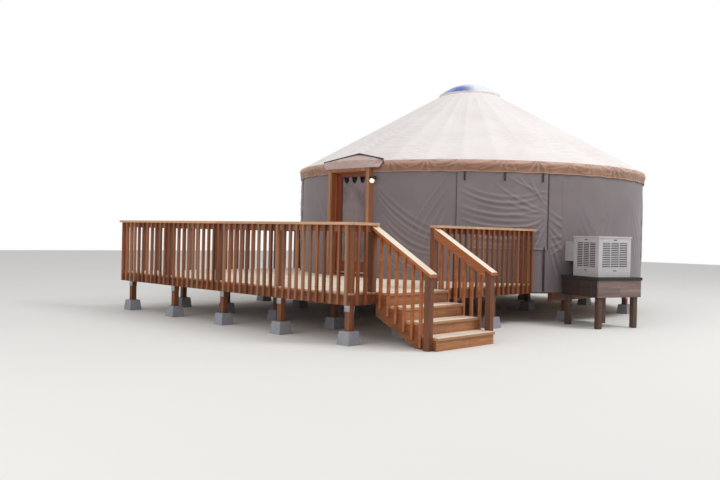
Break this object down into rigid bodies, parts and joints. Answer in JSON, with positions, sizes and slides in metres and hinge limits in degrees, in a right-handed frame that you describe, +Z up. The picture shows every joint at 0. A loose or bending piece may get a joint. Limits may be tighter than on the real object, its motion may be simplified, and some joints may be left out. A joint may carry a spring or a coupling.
{
  "type": "round fabric yurt with a timber deck",
  "caption": "Round fabric yurt on a raised platform with a lattice wall, rafters and skylight, a timber deck with railings and stair, and a wall cooler on a stand.",
  "frame": {"origin": "on the ground, under the middle of the round floor", "axes": "+Z up, -Y out of the door, +X the side that the stair goes down towards"},
  "size_m": [8.2625, 10.407, 4.8573],
  "materials": {
    "wall_fabric": "matt woven cover",
    "roof_fabric": "smooth coated fabric",
    "valance_fabric": "smooth coated fabric",
    "dark_trim": "matt",
    "curtain_fabric": "sheer woven",
    "window_pane": "clear",
    "dome_pane": "clear",
    "curb": "satin",
    "pine": "planed",
    "stained_cedar": "stained",
    "worn_cedar": "stained, worn",
    "concrete": "cast",
    "door_glass": "clear",
    "brass_knob": "polished",
    "lamp_metal": "satin",
    "cooler_metal": "satin",
    "duct_metal": "satin",
    "stand_black": "rubber mat over a timber top",
    "stand_wood": "dark stain"
  },
  "bodies": {
    "yurt": {"wall_front_right": "wall_fabric", "wall_right": "wall_fabric", "wall_back_right": "wall_fabric", "wall_back": "wall_fabric", "wall_back_left": "wall_fabric", "wall_left": "wall_fabric", "wall_front_left": "wall_fabric", "wall_over_door": "wall_fabric", "window_panes": "window_pane", "window_flaps": "wall_fabric", "valance": "valance_fabric", "roof_gore_1": "roof_fabric", "roof_gore_2": "roof_fabric", "roof_gore_3": "roof_fabric", "roof_gore_4": "roof_fabric", "roof_gore_5": "roof_fabric", "roof_gore_6": "roof_fabric", "centre_ring": "pine", "skylight_curb": "curb", "skylight_dome": "dome_pane", "rafters": "pine", "lattice_right": "pine", "lattice_left": "pine", "platform_floor": "pine", "platform_frame": "stained_cedar", "support_posts": "stained_cedar", "pier_blocks": "concrete", "door_frame": "stained_cedar", "door_flap": "valance_fabric", "rain_strip": "dark_trim", "porch_light": "lamp_metal", "deck_boards": "worn_cedar", "deck_frame": "stained_cedar", "rail_posts": "stained_cedar", "front_railing": "stained_cedar", "left_railing": "stained_cedar", "right_railing": "stained_cedar", "railing_cap": "worn_cedar", "stair_stringers": "stained_cedar", "stair_risers": "stained_cedar", "stair_treads": "worn_cedar", "stair_rails": "stained_cedar", "cooler_cabinet": "cooler_metal", "cooler_louvres": "cooler_metal", "cooler_duct": "duct_metal", "stand_top": "stand_black", "stand_frame": "stand_wood"},
    "door": {"door_leaf": "worn_cedar", "door_glass": "door_glass", "door_curtain": "curtain_fabric", "door_knob": "brass_knob"}
  },
  "joints": [
    {"name": "door_hinge", "type": "hinge", "parent": "yurt", "child": "door", "pos_m": [-0.4465, -3.53, 1.7], "axis": [0, 0, 1], "range_deg": [0, 100]}
  ]
}
